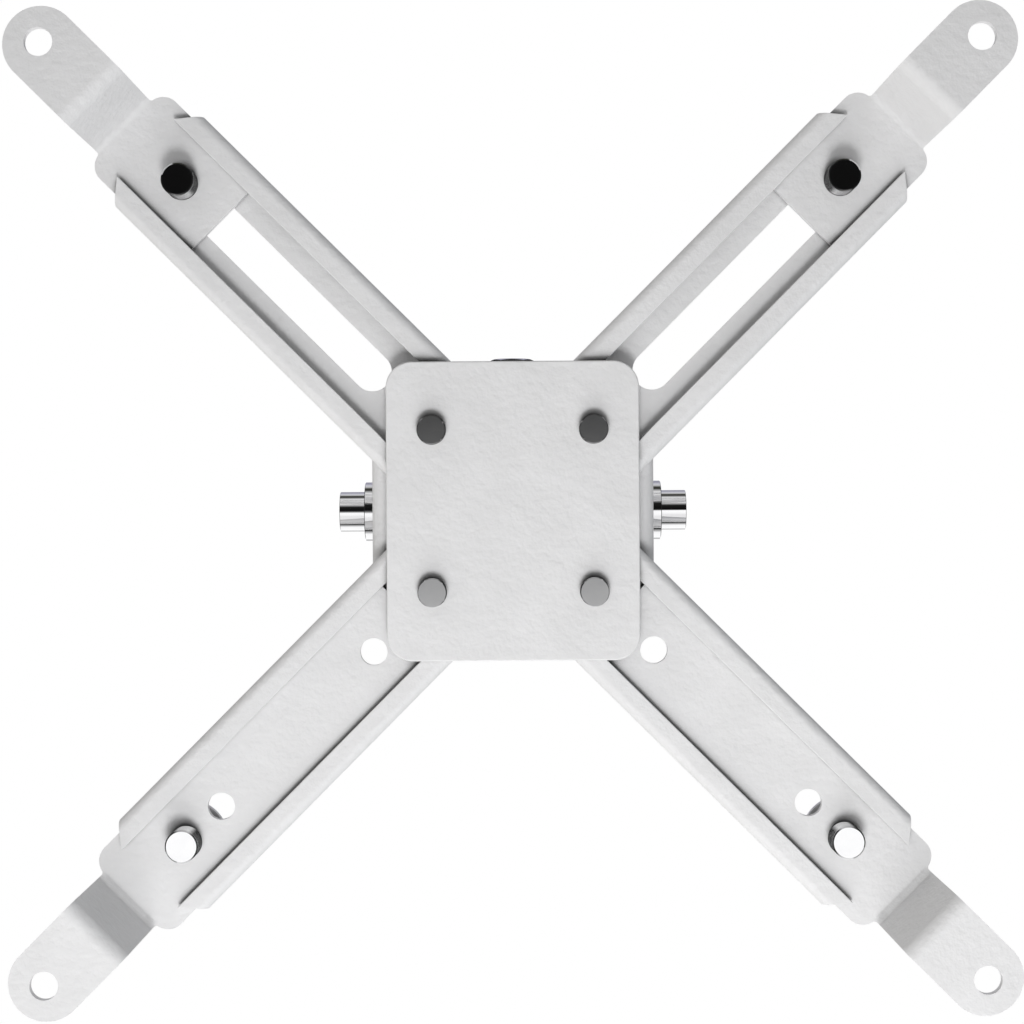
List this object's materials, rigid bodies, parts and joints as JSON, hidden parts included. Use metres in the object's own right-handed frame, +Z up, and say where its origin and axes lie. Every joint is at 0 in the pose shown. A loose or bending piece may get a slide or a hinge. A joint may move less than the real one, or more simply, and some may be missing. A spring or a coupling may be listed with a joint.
{
  "type": "projector mount",
  "caption": "Ceiling mount for a projector: a small hub on swivel, roll and tilt joints carries lipped channel arms whose slide plates step down to drilled feet.",
  "frame": {"origin": "centre of the ceiling plate's upper face, which lies against the ceiling", "axes": "+Z up into the ceiling; -Y to the two arms with short slide plates; X across"},
  "size_m": [0.2322, 0.2322, 0.0836],
  "materials": {
    "painted_steel": "white powder coat, satin, slight orange peel",
    "zinc_plated_steel": "bright zinc plate"
  },
  "bodies": {
    "ceiling": {"ceiling_plate": "painted_steel", "swivel_bolt": "zinc_plated_steel", "swivel_washer": "zinc_plated_steel", "swivel_nut": "zinc_plated_steel"},
    "yoke": {"upper_yoke": "painted_steel", "roll_bolt": "zinc_plated_steel", "front_roll_washer": "zinc_plated_steel", "rear_roll_washer": "zinc_plated_steel", "roll_nut": "zinc_plated_steel"},
    "gimbal": {"gimbal_ring": "painted_steel", "left_tilt_screw": "zinc_plated_steel", "right_tilt_screw": "zinc_plated_steel", "left_tilt_washer": "zinc_plated_steel", "right_tilt_washer": "zinc_plated_steel", "left_tilt_nut": "zinc_plated_steel", "right_tilt_nut": "zinc_plated_steel"},
    "hub": {"hub_bracket": "painted_steel", "hub_plate": "painted_steel", "front_left_hub_bolt": "zinc_plated_steel", "front_right_hub_bolt": "zinc_plated_steel", "rear_left_hub_bolt": "zinc_plated_steel", "rear_right_hub_bolt": "zinc_plated_steel"},
    "front_left_arm": {"front_left_arm": "painted_steel"},
    "front_left_slide": {"front_left_slide": "painted_steel", "front_left_clamp_bolt": "zinc_plated_steel", "front_left_clamp_washer": "zinc_plated_steel"},
    "front_right_arm": {"front_right_arm": "painted_steel"},
    "front_right_slide": {"front_right_slide": "painted_steel", "front_right_clamp_bolt": "zinc_plated_steel", "front_right_clamp_washer": "zinc_plated_steel"},
    "rear_left_arm": {"rear_left_arm": "painted_steel"},
    "rear_left_slide": {"rear_left_slide": "painted_steel", "rear_left_clamp_bolt": "zinc_plated_steel", "rear_left_clamp_washer": "zinc_plated_steel"},
    "rear_right_arm": {"rear_right_arm": "painted_steel"},
    "rear_right_slide": {"rear_right_slide": "painted_steel", "rear_right_clamp_bolt": "zinc_plated_steel", "rear_right_clamp_washer": "zinc_plated_steel"}
  },
  "joints": [
    {"name": "swivel", "type": "hinge", "parent": "ceiling", "child": "yoke", "pos_m": [0, 0, -0.0135], "axis": [0, 0, 1], "continuous": true},
    {"name": "roll", "type": "hinge", "parent": "yoke", "child": "gimbal", "pos_m": [0, 0, -0.036], "axis": [0, 1, 0], "range_deg": [-15, 15]},
    {"name": "tilt", "type": "hinge", "parent": "gimbal", "child": "hub", "pos_m": [0, 0, -0.036], "axis": [1, 0, 0], "range_deg": [-15, 15]},
    {"name": "front_left_arm_swing", "type": "hinge", "parent": "hub", "child": "front_left_arm", "pos_m": [-0.0192, -0.0192, -0.0613], "axis": [0, 0, 1], "range_deg": [-35, 35]},
    {"name": "front_left_reach", "type": "slide", "parent": "front_left_arm", "child": "front_left_slide", "axis": [-0.7071, -0.7071, 0], "range_m": [-0.057, 0.0035]},
    {"name": "front_right_arm_swing", "type": "hinge", "parent": "hub", "child": "front_right_arm", "pos_m": [0.0192, -0.0192, -0.0613], "axis": [0, 0, 1], "range_deg": [-35, 35]},
    {"name": "front_right_reach", "type": "slide", "parent": "front_right_arm", "child": "front_right_slide", "axis": [0.7071, -0.7071, 0], "range_m": [-0.057, 0.0035]},
    {"name": "rear_left_arm_swing", "type": "hinge", "parent": "hub", "child": "rear_left_arm", "pos_m": [-0.0192, 0.0192, -0.0613], "axis": [0, 0, 1], "range_deg": [-35, 35]},
    {"name": "rear_left_reach", "type": "slide", "parent": "rear_left_arm", "child": "rear_left_slide", "axis": [-0.7071, 0.7071, 0], "range_m": [-0.0035, 0.0035]},
    {"name": "rear_right_arm_swing", "type": "hinge", "parent": "hub", "child": "rear_right_arm", "pos_m": [0.0192, 0.0192, -0.0613], "axis": [0, 0, 1], "range_deg": [-35, 35]},
    {"name": "rear_right_reach", "type": "slide", "parent": "rear_right_arm", "child": "rear_right_slide", "axis": [0.7071, 0.7071, 0], "range_m": [-0.0035, 0.0035]}
  ]
}
